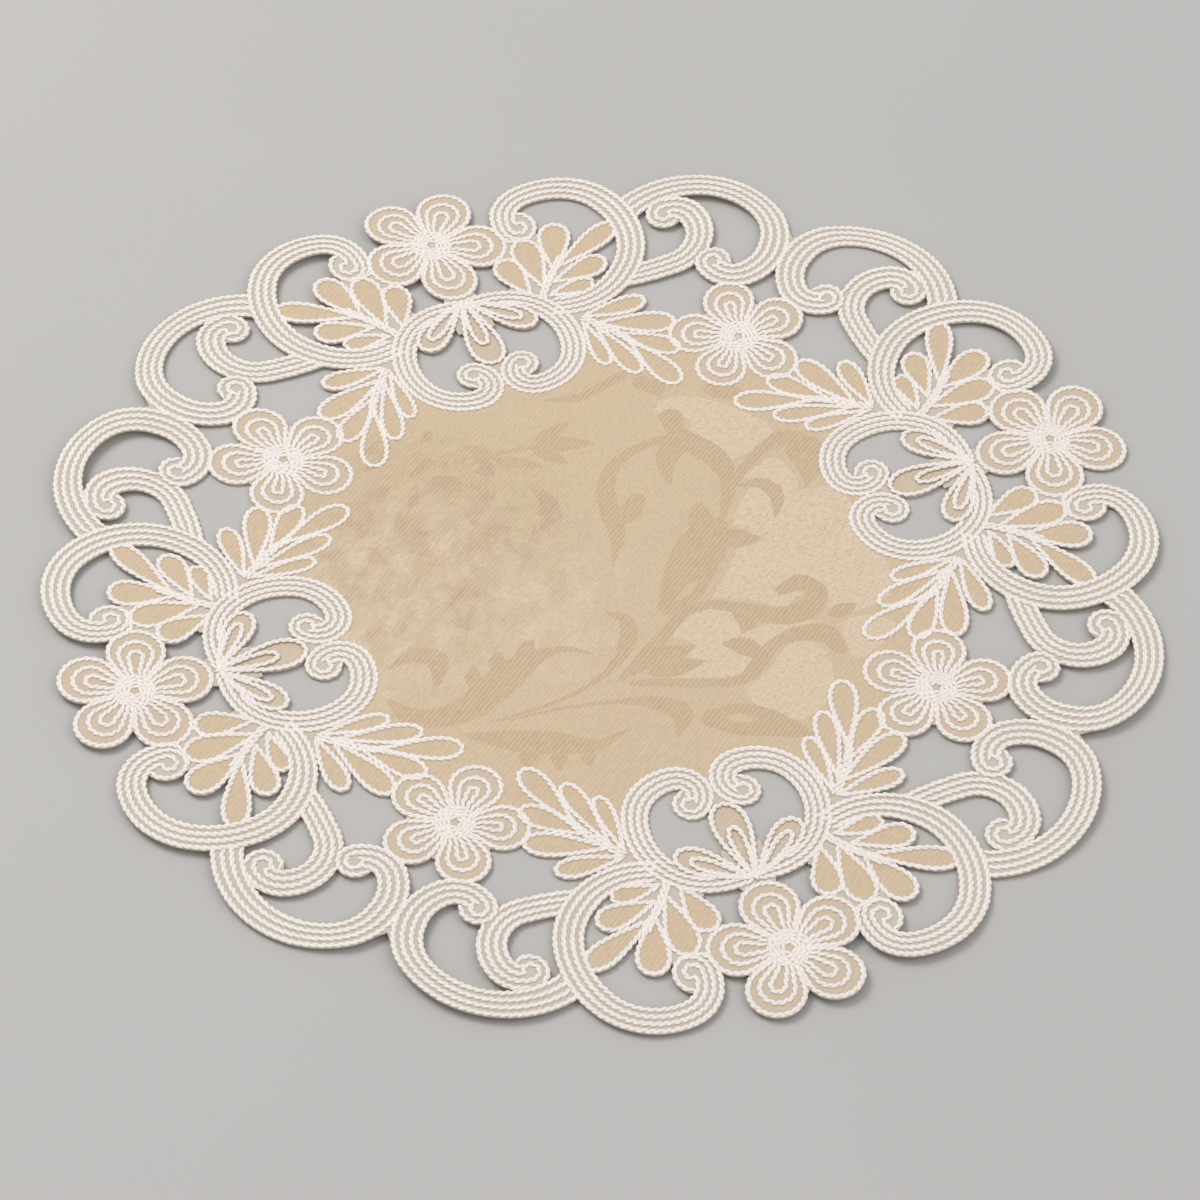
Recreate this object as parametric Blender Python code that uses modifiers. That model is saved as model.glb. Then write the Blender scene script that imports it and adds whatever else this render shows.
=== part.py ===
"""A round lace doily about 300 mm across, lying flat.

It is one piece of damask cloth. Its border is cut away between scrolls, leaf sprays and
flowers, and is stitched along them, so the cloth and its stitching are one sheet.
The outline of every motif is worked out here in millimetres, on a plan with the centre of
the doily at (0, 0) and a flower on +Y. The motifs fill an eighth of the border, from the
+Y axis to the diagonal, and the rest of the border repeats that eighth. The whole is then
drawn a little out of its even plan, as such cloth is.
"""

from math import asin, atan2, cos, floor, pi, radians, sin, sqrt, tau
from typing import NamedTuple

import bmesh
import bpy
from mathutils import Vector
from mathutils.geometry import delaunay_2d_cdt

MM = 0.001  # metres in a millimetre

THICKNESS = 1.5  # of the cloth with the stitching on it
PULL_RADII = (90.0, 140.0)  # of the two circles on which the pulls are given
BOX_SHIFT = (-1.2, 1.4)  # moves the pulled doily's box over the origin
SAGITTA = 0.12  # how far a chord may stray from its arc
LEAF_STEP = 2.4  # length of leaf edge between two points
LEAF_TAPER = 2.1  # over 1 makes a leaf widest past its middle
LEAF_FULLNESS = 0.45  # half gives an oval, and less is blunter
SAME_POINT = 1e-4  # points nearer than this are one point

CLOTH_COLOUR = (0.73, 0.60, 0.42, 1.0)
CLOTH_ROUGHNESS = 0.8


class Scroll(NamedTuple):
    start: tuple  # where its outer edge begins
    heading: float  # direction of the outer edge there, in degrees from +X
    arcs: tuple  # (radius, turn in degrees) of the outer edge, left turns positive
    widths: tuple  # of the band, at even spacings along it
    curl: tuple  # (radius, turn) of the last arc, round the curl at the end


class Leaf(NamedTuple):
    base: tuple
    tip: tuple
    width: float


class Flower(NamedTuple):
    centre: tuple
    heading: float  # of its first petal
    reach: float  # from its centre to the middle of a petal's round end
    petal_radius: float
    web_radius: float  # of the cloth that fills in between the petals


class Pull(NamedTuple):
    """How far the cloth is drawn out of its even plan, toward +X and +Y, in one direction."""

    direction: float  # in degrees from +X
    inner: tuple  # on the circle where the border begins
    outer: tuple  # on a circle near the edge


PETALS = 5

SCROLLS = (
    Scroll(  # the great scroll beside the flower on the axis
        start=(22.2, 96.1),
        heading=-26,
        arcs=((24.0, 105), (31.5, 39), (22.0, 74), (13.2, 70), (30.0, 6)),
        widths=(6.5, 8.0, 7.8, 7.8, 7.0),
        curl=(6.1, 227),
    ),
    Scroll(  # the inner scroll, from the flower in to the plain middle
        start=(0.4, 110.1),
        heading=11,
        arcs=((25.5, -27), (20.0, -40), (23.5, -59), (16.5, -71), (9.5, -140)),
        widths=(6.5, 6.8, 7.4, 7.0),
        curl=(5.0, -141),
    ),
    Scroll(  # the edge scroll, from the great scroll to the diagonal
        start=(49.3, 125.2),
        heading=33,
        arcs=((29.0, -58), (30.8, -53), (18.5, -97), (12.0, -90)),
        widths=(8.3, 8.3, 7.6, 7.4, 8.5, 8.0, 7.4),
        curl=(5.1, -181),
    ),
    Scroll(  # the small scroll inside the edge scroll
        start=(43.0, 97.6),
        heading=-14,
        arcs=((73.0, 13.5), (15.0, 111), (10.3, 74)),
        widths=(7.1, 7.4, 7.9, 7.6),
        curl=(5.2, 198),
    ),
)

LEAVES = (
    # the upper spray, inside the great scroll
    Leaf(base=(19.0, 105.4), tip=(15.9, 120.8), width=8.6),
    Leaf(base=(23.6, 106.3), tip=(24.1, 125.8), width=9.2),
    Leaf(base=(28.5, 111.3), tip=(35.2, 128.0), width=9.4),
    Leaf(base=(29.9, 112.2), tip=(50.7, 120.5), width=7.8),
    Leaf(base=(27.0, 107.4), tip=(43.4, 109.0), width=8.2),
    Leaf(base=(24.2, 103.6), tip=(37.4, 103.5), width=6.4),
    # the lower spray, on the plain middle
    Leaf(base=(29.5, 92.0), tip=(48.0, 90.2), width=6.8),
    Leaf(base=(32.1, 88.0), tip=(52.7, 78.8), width=8.0),
    # the petals under the flower on the axis
    Leaf(base=(0.0, 109.6), tip=(0.0, 84.4), width=10.4),
    Leaf(base=(1.0, 109.0), tip=(17.2, 95.5), width=8.6),
)

AXIS_FLOWER = Flower((0.0, 131.9), -90, reach=13.3, petal_radius=7.9, web_radius=13.2)
DIAGONAL_FLOWER = Flower((66.9, 66.9), 225, reach=12.7, petal_radius=7.3, web_radius=12.6)

# The uncut middle, out to lines that the motifs cover, from the +Y axis to the diagonal
MIDDLE_EDGE = ((0, 77), (10, 73), (20, 77.5), (23, 88), (25, 95), (40, 91.5), (46, 83), (54, 76))

# Cloth left uncut where motifs meet, as the corners of small webs
WEBS = (
    ((-3.6, 114), (-5.4, 98.6), (5.4, 98.6), (6.0, 108), (3.6, 114)),  # under the axis flower
    ((-3, 87), (-3, 76), (3, 76), (3, 87)),  # between the two inner curls
    ((13, 121.5), (15, 112), (30, 113), (29.6, 126.2), (19.5, 128)),  # flower to great curl
    ((14.2, 109.6), (18, 100), (34, 100), (34, 112), (24, 114)),  # base of the upper spray
    ((24, 97), (24, 92), (34, 92), (37, 95.3)),  # base of the lower spray
    ((94.4, 98.5), (94.2, 94.2), (98.5, 94.4), (88, 88)),  # between two edge scrolls
)

PULLS = (
    Pull(0, inner=(-0.5, 1.5), outer=(2.0, 4.0)),
    Pull(45, inner=(-0.5, 2.0), outer=(2.0, 7.5)),
    Pull(90, inner=(-2.5, -3.0), outer=(-4.0, 0.5)),
    Pull(135, inner=(-2.0, -0.5), outer=(-4.0, 3.5)),
    Pull(180, inner=(1.0, 0.5), outer=(0.5, 0.0)),
    Pull(225, inner=(0.5, -1.5), outer=(0.0, -2.5)),
    Pull(270, inner=(0.5, -0.5), outer=(-1.0, -3.5)),
    Pull(315, inner=(1.0, -1.5), outer=(2.5, -1.5)),
)


def chord_count(radius, turn):
    """How many chords an arc takes; turn is in radians."""
    chord = sqrt(8 * radius * SAGITTA)
    return max(2, round(radius * abs(turn) / chord))


def arc_points(centre, radius, begin, turn):
    """Points along an arc, both ends among them; angles are in radians."""
    count = chord_count(radius, turn)
    angles = [begin + turn * i / count for i in range(count + 1)]
    return [Vector((centre[0] + radius * cos(a), centre[1] + radius * sin(a))) for a in angles]


def circle(centre, radius):
    return arc_points(centre, radius, 0, tau)[:-1]


def follow_arcs(scroll):
    """The scroll's outer edge up to its curl, as (point, unit vector into the band) pairs."""
    side = 1 if scroll.curl[1] > 0 else -1
    point, heading = Vector(scroll.start), radians(scroll.heading)
    steps = [(point, Vector((-sin(heading), cos(heading))) * side)]
    for radius, turn in scroll.arcs:
        turn = radians(turn)
        centre = point + steps[-1][1] * radius
        for point in arc_points(centre, radius, heading - side * pi / 2, turn)[1:]:
            steps.append((point, (centre - point) / radius))
        heading += turn
    return steps


def width_at(widths, share):
    """The width at a share of the length, from widths at even spacings."""
    place = share * (len(widths) - 1)
    i = min(int(place), len(widths) - 2)
    return widths[i] + (widths[i + 1] - widths[i]) * (place - i)


def scroll_outlines(scroll):
    """The outlines of a scroll's band and of the curl that ends it."""
    steps = follow_arcs(scroll)
    runs = [0.0]
    for (here, _), (there, _) in zip(steps, steps[1:]):
        runs.append(runs[-1] + (there - here).length)
    outer = [point for point, _ in steps]
    inner = [
        point + inward * width_at(scroll.widths, run / runs[-1])
        for (point, inward), run in zip(steps, runs)
    ]
    end, inward = steps[-1]
    radius = scroll.curl[0]
    return [outer + inner[::-1], circle(end + inward * radius, radius)]


def leaf_outline(leaf):
    """A leaf that is widest past its middle, narrow at its base and round at its tip."""
    base, tip = Vector(leaf.base), Vector(leaf.tip)
    along = tip - base
    across = Vector((-along.y, along.x)).normalized()
    count = max(6, round(along.length / LEAF_STEP))
    outline = []
    for i in range(2 * count):
        angle = pi * i / count
        share = (1 - cos(angle)) / 2
        half_width = leaf.width / 2 * abs(sin(pi * share**LEAF_TAPER)) ** LEAF_FULLNESS
        outline.append(base + along * share + across * (half_width if angle < pi else -half_width))
    return outline


def flower_outlines(flower):
    """The outlines of a flower's petals, each a round end on a point, and of its web."""
    centre = Vector(flower.centre)
    half_point = asin(flower.petal_radius / flower.reach)
    outlines = [circle(centre, flower.web_radius)]
    for i in range(PETALS):
        heading = radians(flower.heading) + tau * i / PETALS
        middle = centre + Vector((cos(heading), sin(heading))) * flower.reach
        begin = heading - pi / 2 - half_point
        turn = pi + 2 * half_point
        outlines.append([centre] + arc_points(middle, flower.petal_radius, begin, turn))
    return outlines


def quarter_outlines():
    """Every outline that reaches into the quarter between +X and +Y."""
    outlines = []
    for scroll in SCROLLS:
        outlines += scroll_outlines(scroll)
    outlines += [leaf_outline(leaf) for leaf in LEAVES]
    outlines += flower_outlines(AXIS_FLOWER)
    polygons = [((0, 0), *MIDDLE_EDGE, DIAGONAL_FLOWER.centre), *WEBS]
    outlines += [[Vector(corner) for corner in polygon] for polygon in polygons]
    mirrored = [[point.yx for point in outline] for outline in outlines]
    return outlines + mirrored + flower_outlines(DIAGONAL_FLOWER)


def counter_clockwise(outline):
    """The outline, turned round if it runs clockwise."""
    following = outline[1:] + outline[:1]
    twice_area = sum(here.cross(there) for here, there in zip(outline, following))
    return outline if twice_area > 0 else outline[::-1]


def flat_union(outlines):
    """A flat bmesh, facing up, that covers what at least one of the outlines covers."""
    points, loops = [], []
    for outline in outlines:
        loops.append(range(len(points), len(points) + len(outline)))
        points += counter_clockwise(outline)
    verts, _, triangles, _, _, covering = delaunay_2d_cdt(points, [], loops, 1, SAME_POINT)
    bm = bmesh.new()
    corners = [bm.verts.new(v.to_3d()) for v in verts]
    for triangle, sources in zip(triangles, covering):
        if sources:
            bm.faces.new([corners[i] for i in triangle])
    bmesh.ops.delete(bm, geom=[v for v in bm.verts if not v.link_faces], context="VERTS")
    return bm


def keep_quarter(bm):
    """Cuts the bmesh off along the X and Y axes, and leaves points only on its edges."""
    for normal in ((1, 0, 0), (0, 1, 0)):
        geometry = bm.verts[:] + bm.edges[:] + bm.faces[:]
        bmesh.ops.bisect_plane(
            bm, geom=geometry, dist=SAME_POINT, plane_co=(0, 0, 0), plane_no=normal, clear_inner=True
        )
    bmesh.ops.dissolve_limit(bm, angle_limit=radians(1), verts=bm.verts, edges=bm.edges)
    bmesh.ops.triangulate(bm, faces=bm.faces)


def mirror_quarter(bm):
    """Completes the quarter to the whole doily, still facing up."""
    for axis in "XY":
        geometry = bm.verts[:] + bm.edges[:] + bm.faces[:]
        bmesh.ops.mirror(bm, geom=geometry, axis=axis, merge_dist=SAME_POINT)
    bm.normal_update()
    bmesh.ops.reverse_faces(bm, faces=[face for face in bm.faces if face.normal.z < 0])


def drawn(point):
    """A point of the even plan, moved by the pulls: smoothly round it, and evenly between
    the centre and the two circles."""
    step = atan2(point.y, point.x) / tau * len(PULLS)
    before, after = PULLS[floor(step) % len(PULLS)], PULLS[(floor(step) + 1) % len(PULLS)]
    share = (1 - cos(pi * (step % 1))) / 2
    inner = Vector(before.inner).lerp(Vector(after.inner), share)
    outer = Vector(before.outer).lerp(Vector(after.outer), share)
    radius = point.xy.length
    if radius < PULL_RADII[0]:
        pull = inner * radius / PULL_RADII[0]
    else:
        pull = inner.lerp(outer, min(1, (radius - PULL_RADII[0]) / (PULL_RADII[1] - PULL_RADII[0])))
    return point + (pull + Vector(BOX_SHIFT)).to_3d()


def cloth_material():
    material = bpy.data.materials.new("damask_cloth")
    material.use_nodes = True
    shader = material.node_tree.nodes["Principled BSDF"]
    shader.inputs["Base Color"].default_value = CLOTH_COLOUR
    shader.inputs["Roughness"].default_value = CLOTH_ROUGHNESS
    shader.inputs["Metallic"].default_value = 0.0
    return material


def make_doily(collection):
    bm = flat_union(quarter_outlines())
    keep_quarter(bm)
    mirror_quarter(bm)
    for vert in bm.verts:
        vert.co = drawn(vert.co)
    bmesh.ops.scale(bm, vec=(MM, MM, MM), verts=bm.verts)
    mesh = bpy.data.meshes.new("doily")
    bm.to_mesh(mesh)
    bm.free()
    mesh.materials.append(cloth_material())
    doily = bpy.data.objects.new("doily", mesh)
    collection.objects.link(doily)

    sheet = doily.modifiers.new("thickness", "SOLIDIFY")
    sheet.thickness = THICKNESS * MM
    sheet.offset = 1
    return doily


def main():
    for obj in list(bpy.data.objects):
        bpy.data.objects.remove(obj, do_unlink=True)
    collection = bpy.data.collections.new("lace_doily")
    bpy.context.scene.collection.children.link(collection)
    make_doily(collection)


main()
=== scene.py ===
"""A round lace doily of beige damask, cut out and stitched with off-white cord, on a pale floor.

The plan of the doily is in millimetres, seen from above, with its centre at (0, 0) and a flower
on +Y. The border's motifs are drawn for one eighth, from the +Y axis to the diagonal, and are
repeated from it. Everything is then laid on the floor as slightly uneven cloth, in metres.
"""

from math import asin, pi, radians, sqrt, tau
from typing import NamedTuple

import bmesh
import bpy
import numpy as np
from bpy.props import FloatProperty, FloatVectorProperty, IntProperty, PointerProperty
from mathutils import Matrix, Vector
from mathutils.geometry import delaunay_2d_cdt


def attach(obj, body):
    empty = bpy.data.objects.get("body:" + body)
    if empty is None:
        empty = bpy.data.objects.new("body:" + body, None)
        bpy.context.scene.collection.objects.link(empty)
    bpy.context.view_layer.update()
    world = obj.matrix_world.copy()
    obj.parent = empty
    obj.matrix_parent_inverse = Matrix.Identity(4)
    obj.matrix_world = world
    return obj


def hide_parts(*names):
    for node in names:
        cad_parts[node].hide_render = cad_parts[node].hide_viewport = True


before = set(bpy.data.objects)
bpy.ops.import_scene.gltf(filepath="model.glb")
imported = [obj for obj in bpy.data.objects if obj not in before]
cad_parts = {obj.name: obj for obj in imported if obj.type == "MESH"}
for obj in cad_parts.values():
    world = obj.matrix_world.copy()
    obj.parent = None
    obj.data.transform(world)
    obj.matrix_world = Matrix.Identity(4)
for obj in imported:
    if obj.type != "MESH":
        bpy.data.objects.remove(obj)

bl_info = {
    "name": "Lace Doily",
    "version": (1, 0, 0),
    "blender": (4, 5, 0),
    "location": "3D View > Sidebar > Doily",
    "description": "Makes a damask doily with a cutwork border and cord stitching",
    "category": "Add Mesh",
}

MM = 0.001  # metres in a millimetre


# ---- the border's motifs, in plan


class Scroll(NamedTuple):
    start: tuple  # where its outer edge begins
    heading: float  # direction of the outer edge there, in degrees from +X
    arcs: tuple  # (radius, turn in degrees) of the outer edge, left turns positive
    widths: tuple  # of the band, at even spacings along it
    curl: float  # radius of the round curl at its end

    @property
    def side(self):
        """1 for a scroll that bends to the left, and -1 to the right."""
        return 1 if self.arcs[0][1] > 0 else -1


class Leaf(NamedTuple):
    base: tuple
    tip: tuple
    width: float


class Flower(NamedTuple):
    centre: tuple
    heading: float  # of its first petal
    reach: float  # from its centre to the middle of a petal's round end
    petal_radius: float
    web_radius: float  # of the cloth that fills in between the petals


GREAT_SCROLL = Scroll(  # beside the flower on the axis
    start=(22.2, 96.1),
    heading=-26,
    arcs=((24.0, 105), (31.5, 39), (22.0, 74), (13.2, 70), (30.0, 6)),
    widths=(6.5, 8.0, 7.8, 7.8, 7.0),
    curl=6.1,
)
INNER_SCROLL = Scroll(  # from under the flower in to the plain middle
    start=(0.4, 110.1),
    heading=11,
    arcs=((25.5, -27), (20.0, -40), (23.5, -59), (16.5, -71), (9.5, -140)),
    widths=(6.5, 6.8, 7.4, 7.0),
    curl=5.0,
)
EDGE_SCROLL = Scroll(  # from the great scroll to the diagonal
    start=(49.3, 125.2),
    heading=33,
    arcs=((29.0, -58), (30.8, -53), (18.5, -97), (12.0, -90)),
    widths=(8.3, 8.3, 7.6, 7.4, 8.5, 8.0, 7.4),
    curl=5.1,
)
SMALL_SCROLL = Scroll(  # inside the edge scroll
    start=(43.0, 97.6),
    heading=-14,
    arcs=((73.0, 13.5), (15.0, 111), (10.3, 74)),
    widths=(7.1, 7.4, 7.9, 7.6),
    curl=5.2,
)
SCROLLS = (GREAT_SCROLL, INNER_SCROLL, EDGE_SCROLL, SMALL_SCROLL)

UPPER_SPRAY = (  # inside the great scroll
    Leaf((19.0, 105.4), (15.9, 120.8), 8.6),
    Leaf((23.6, 106.3), (24.1, 125.8), 9.2),
    Leaf((28.5, 111.3), (35.2, 128.0), 9.4),
    Leaf((29.9, 112.2), (50.7, 120.5), 7.8),
    Leaf((27.0, 107.4), (43.4, 109.0), 8.2),
    Leaf((24.0, 103.2), (37.3, 102.9), 6.2),
)
LOWER_SPRAY_AT_EDGE = (
    Leaf((29.5, 92.0), (48.0, 90.2), 6.8),
    Leaf((32.1, 88.0), (52.7, 78.8), 8.0),
)
LOWER_SPRAY_ON_MIDDLE = (
    Leaf((36.4, 81.9), (50.0, 68.4), 7.6),
    Leaf((38.2, 77.2), (44.8, 56.2), 8.0),
    Leaf((31.7, 86.6), (36.1, 64.3), 6.8),
    Leaf((28.8, 90.0), (29.2, 71.2), 5.8),
)
SPRAY_STEMS = (
    ((21.8, 103.3), (25.4, 107.9), (29.1, 111.9), (31.9, 114.9)),
    ((29.2, 91.6), (32.3, 87.4), (35.4, 83.1), (37.8, 78.6), (38.8, 75.0)),
)
AXIS_PETAL = Leaf((0.0, 109.6), (0.0, 84.4), 10.4)  # under the axis flower
AXIS_PETAL_HEART = Leaf((0.0, 109.6), (0.0, 92.1), 5.0)
SIDE_PETAL = Leaf((1.0, 109.0), (17.2, 95.5), 8.6)
SIDE_PETAL_HEART = Leaf((1.0, 109.0), (14.2, 98.5), 4.6)

AXIS_FLOWER = Flower((0.0, 131.9), -90, reach=13.3, petal_radius=7.9, web_radius=13.2)
DIAGONAL_FLOWER = Flower((66.9, 66.9), 225, reach=12.7, petal_radius=7.3, web_radius=12.6)
PETALS = 5

# The uncut middle, out to lines that the motifs cover, from the +Y axis to the diagonal
MIDDLE_EDGE = ((0, 77), (10, 73), (20, 77.5), (23, 88), (25, 95), (40, 91.5), (46, 83), (54, 76))

# Cloth left uncut where motifs meet, as the corners of small webs
WEBS = (
    ((-3.6, 114), (-5.4, 98.6), (5.4, 98.6), (6.0, 108), (3.6, 114)),  # under the axis flower
    ((-3, 87), (-3, 76), (3, 76), (3, 87)),  # between the two inner curls
    ((13, 121.5), (15, 112), (30, 113), (29.6, 126.2), (19.5, 128)),  # flower to great curl
    ((14.2, 109.6), (18, 100), (34, 100), (34, 112), (24, 114)),  # base of the upper spray
    ((24, 97), (24, 92), (34, 92), (37, 95.3)),  # base of the lower spray
    ((94.4, 98.5), (94.2, 94.2), (98.5, 94.4), (88, 88)),  # between two edge scrolls
)

SAGITTA = 0.02  # how far a chord of a cut edge may stray from its arc
SAME_POINT = 1e-4  # points nearer than this are one point

# A leaf's taper and fullness. A taper over 1 makes it widest past its middle. A fullness of a
# half makes it an oval, and less makes its ends blunter and more makes them pointed
BLUNT = (2.1, 0.45)
POINTED = (0.85, 0.8)

# The four quarter turns of the plan, and its eight turns and mirrorings
QUARTERS = [np.array(((c, s), (-s, c))) for c, s in ((1, 0), (0, 1), (-1, 0), (0, -1))]
EIGHTHS = [turn @ flip for turn in QUARTERS for flip in (np.eye(2), np.diag((-1.0, 1.0)))]


def repeated(shapes, places):
    """Each shape at each of the places, which are turns or mirrorings of the plan."""
    return [shape @ place for place in places for shape in shapes]


def unit(angles):
    """Unit vectors at angles in radians."""
    return np.stack((np.cos(angles), np.sin(angles)), axis=-1)


def arc(centre, radius, begin, turn, sagitta=SAGITTA):
    """Points along an arc, both ends among them; angles are in radians."""
    count = max(4, round(radius * abs(turn) / sqrt(8 * radius * sagitta)))
    return np.asarray(centre) + radius * unit(begin + turn * np.linspace(0, 1, count + 1))


def circle(centre, radius):
    return arc(centre, radius, 0, tau)[:-1]


def smooth_line(knots, steps=8):
    """A smooth line through rows of numbers, with points between each two of them."""
    knots = np.array(knots, float)
    knots = np.vstack((2 * knots[0] - knots[1], knots, 2 * knots[-1] - knots[-2]))
    shares = np.linspace(0, 1, steps + 1)[:-1, None]
    spans = [
        b
        + (c - a) / 2 * shares
        + (a - 2.5 * b + 2 * c - d / 2) * shares**2
        + (-a + 3 * b - 3 * c + d) / 2 * shares**3
        for a, b, c, d in zip(knots, knots[1:], knots[2:], knots[3:])
    ]
    return np.vstack((*spans, knots[-2]))


def left_of(path):
    """Unit vectors to the left of a path, at each of its points."""
    ahead = np.gradient(path, axis=0)
    return ahead[:, ::-1] * (-1, 1) / np.hypot(*ahead.T)[:, None]


def lengths_along(path):
    """The distance along a path at each of its points."""
    return np.concatenate(([0], np.cumsum(np.hypot(*np.diff(path, axis=0).T))))


def outer_edge(scroll, sagitta=SAGITTA):
    """The scroll's outer edge up to its curl: its points, the unit vectors into the band at
    them, and the direction in which it ends."""
    side = scroll.side
    heading = radians(scroll.heading)
    points = [np.array([scroll.start])]
    inwards = [side * unit(np.array([heading + pi / 2]))]
    for radius, turn in scroll.arcs:
        centre = points[-1][-1] + inwards[-1][-1] * radius
        bend = arc(centre, radius, heading - side * pi / 2, radians(turn), sagitta)[1:]
        points.append(bend)
        inwards.append((centre - bend) / radius)
        heading += radians(turn)
    return np.concatenate(points), np.concatenate(inwards), heading


def band_widths(scroll, points):
    """The width of the scroll's band at each point of its outer edge."""
    lengths = lengths_along(points)
    return np.interp(lengths / lengths[-1], np.linspace(0, 1, len(scroll.widths)), scroll.widths)


def scroll_outlines(scroll):
    """The outlines of a scroll's band and of the curl that ends it."""
    points, inwards, _ = outer_edge(scroll)
    inner = points + inwards * band_widths(scroll, points)[:, None]
    curl = circle(points[-1] + inwards[-1] * scroll.curl, scroll.curl)
    return [np.concatenate((points, inner[::-1])), curl]


def outlines_of(*scrolls):
    return [outline for scroll in scrolls for outline in scroll_outlines(scroll)]


def leaf_loop(leaf, inset=0.0, step=1.2, shape=BLUNT):
    """Once round a leaf, from its base and back to it."""
    base, tip = np.array((leaf.base, leaf.tip), float)
    along = tip - base
    along *= 1 - inset / np.hypot(*along)
    across = np.array((-along[1], along[0])) / np.hypot(*along)
    angles = tau * np.linspace(0, 1, 2 * max(6, round(np.hypot(*along) / step)) + 1)
    shares = (1 - np.cos(angles)) / 2
    taper, fullness = shape
    swelling = np.abs(np.sin(pi * shares**taper)) ** fullness
    half_widths = (leaf.width / 2 - inset) * swelling * np.sign(pi - angles)
    return base + along * shares[:, None] + across * half_widths[:, None]


def leaf_outline(leaf, shape=BLUNT):
    return leaf_loop(leaf, shape=shape)[:-1]


def petal_loop(flower, number, inset=0.0, moved_in=0.0, begin_at=0.0):
    """Round one petal, from and back to a distance begin_at from the flower's centre."""
    centre = np.array(flower.centre)
    heading = radians(flower.heading) + tau * number / PETALS
    radius = flower.petal_radius - inset
    reach_in = flower.reach - moved_in
    half_point = asin(radius / reach_in)
    middle = centre + unit(heading) * reach_in
    bend = arc(middle, radius, heading - pi / 2 - half_point, pi + 2 * half_point)
    reach = np.hypot(*(bend[0] - centre))
    ends = [centre + (corner - centre) * begin_at / reach for corner in (bend[0], bend[-1])]
    return np.concatenate(([ends[0]], bend, [ends[1]]))


def flower_outlines(flower):
    """The outlines of a flower's petals and of its web."""
    petals = [petal_loop(flower, number)[:-1] for number in range(PETALS)]
    return [circle(flower.centre, flower.web_radius), *petals]


# ---- the damask's woven figure

# Scrolling stems and leaves, each as the places (x, y, width) that it goes through
FRONDS = (
    # the acanthus scroll: its curl, its broad leaf and its tail
    ((-66, -13.5, 1.0), (-58, -11.5, 4.6), (-53, -15.5, 6.0), (-55.5, -22, 2.4)),
    ((-69.5, -24, 1.5), (-66, -30.5, 6.0), (-58, -33.5, 6.6), (-49, -32, 8.6), (-40, -27.5, 9.4),
     (-31.5, -23.5, 7.0), (-24, -22, 3.2), (-18.5, -23, 2.0), (-13.5, -26.5, 0.6)),
    # its two stems, and the leaf under them
    ((-45, -39.3, 0.8), (-30, -38.6, 1.2), (-17, -36, 1.6), (-8, -31, 3.0), (-2.5, -24.5, 4.8),
     (-1, -18.5, 3.6), (-4.5, -15, 1.4)),
    ((-42, -40, 0.8), (-27, -41.2, 1.1), (-13, -44, 1.6), (-4, -47.5, 4.4), (1.5, -53, 6.4),
     (-1.5, -59.5, 1.6)),
    ((-54, -41, 1.6), (-45, -46, 6.4), (-34, -51, 7.6), (-23, -55.5, 3.6), (-13.5, -53.5, 0.8)),
    # the two stems on the right, curled at their ends
    ((-9, -37, 2), (-1, -33, 5), (7, -26.5, 3.6), (14, -21.5, 3), (21, -20.5, 3), (29, -24.5, 4),
     (37, -30, 6), (45, -31, 6.5), (50.5, -27, 6), (48, -22, 5.4), (42, -22.5, 3.6)),
    ((-7, -39.5, 2.0), (3, -42.8, 3.0), (13, -46.5, 2.8), (21, -47.5, 3.4), (27, -43.5, 4.6),
     (33, -38.8, 3.6), (41, -37.8, 5.0), (47, -40.5, 6.6), (48.5, -46, 4.0)),
    ((28, -24, 4.0), (29, -29, 5.6), (26.5, -32.5, 1.2)),
    ((20.5, -34.5, 1.4), (25, -37, 6.2), (29, -42, 3.6)),
    ((8.5, -57.5, 6.0), (14, -59.5, 10.5), (21.5, -63.5, 9.5), (31, -71, 2.0)),
    # the tulip and the branch out of it
    ((12, -17.5, 7.0), (17, -13, 11.5), (24, -5.5, 13.5), (30, 0.5, 12.5), (34.5, 4, 6.0)),
    ((35, 3, 1.6), (39, 9.5, 2.6), (43.5, 18, 4.8), (43.5, 27, 7.0), (39.5, 33.5, 7.4),
     (37, 39.5, 5.4), (37.5, 45, 6.6)),
    ((40, 35, 4.0), (33.5, 34, 7.0), (29.5, 29, 5.0), (28, 22.5, 1.4)),
    ((36, 37.5, 3.0), (27, 38, 3.0), (17.5, 35, 3.8), (11.5, 28, 5.0), (9, 18, 5.6), (7.5, 9, 4.0),
     (3.5, 2, 1.0)),
    ((9, 14, 2.4), (13.5, 16, 6.0), (17.5, 20, 4.6)),
    # the arches beside it
    ((43.5, 15, 1.4), (50, 21.5, 3.0), (57.5, 26, 3.6), (65, 27, 6.5), (70, 21, 8.0)),
    ((66, 22, 7.0), (66.5, 15, 6.5), (63, 9, 1.0)),
    ((46, 15.5, 1.2), (52, 14, 4.2), (54, 8.5, 4.4), (51, 2, 1.0)),
    # the twig above, and bands at the edge
    ((-24, 48, 0.8), (-12, 50.5, 1.3), (0, 50.5, 1.5), (7, 55, 0.8)),
    ((8, 66, 1.2), (18, 63, 3.2), (31, 66, 3.0)),
    ((35, 61, 5.0), (38, 57, 5.5)),
)

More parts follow.
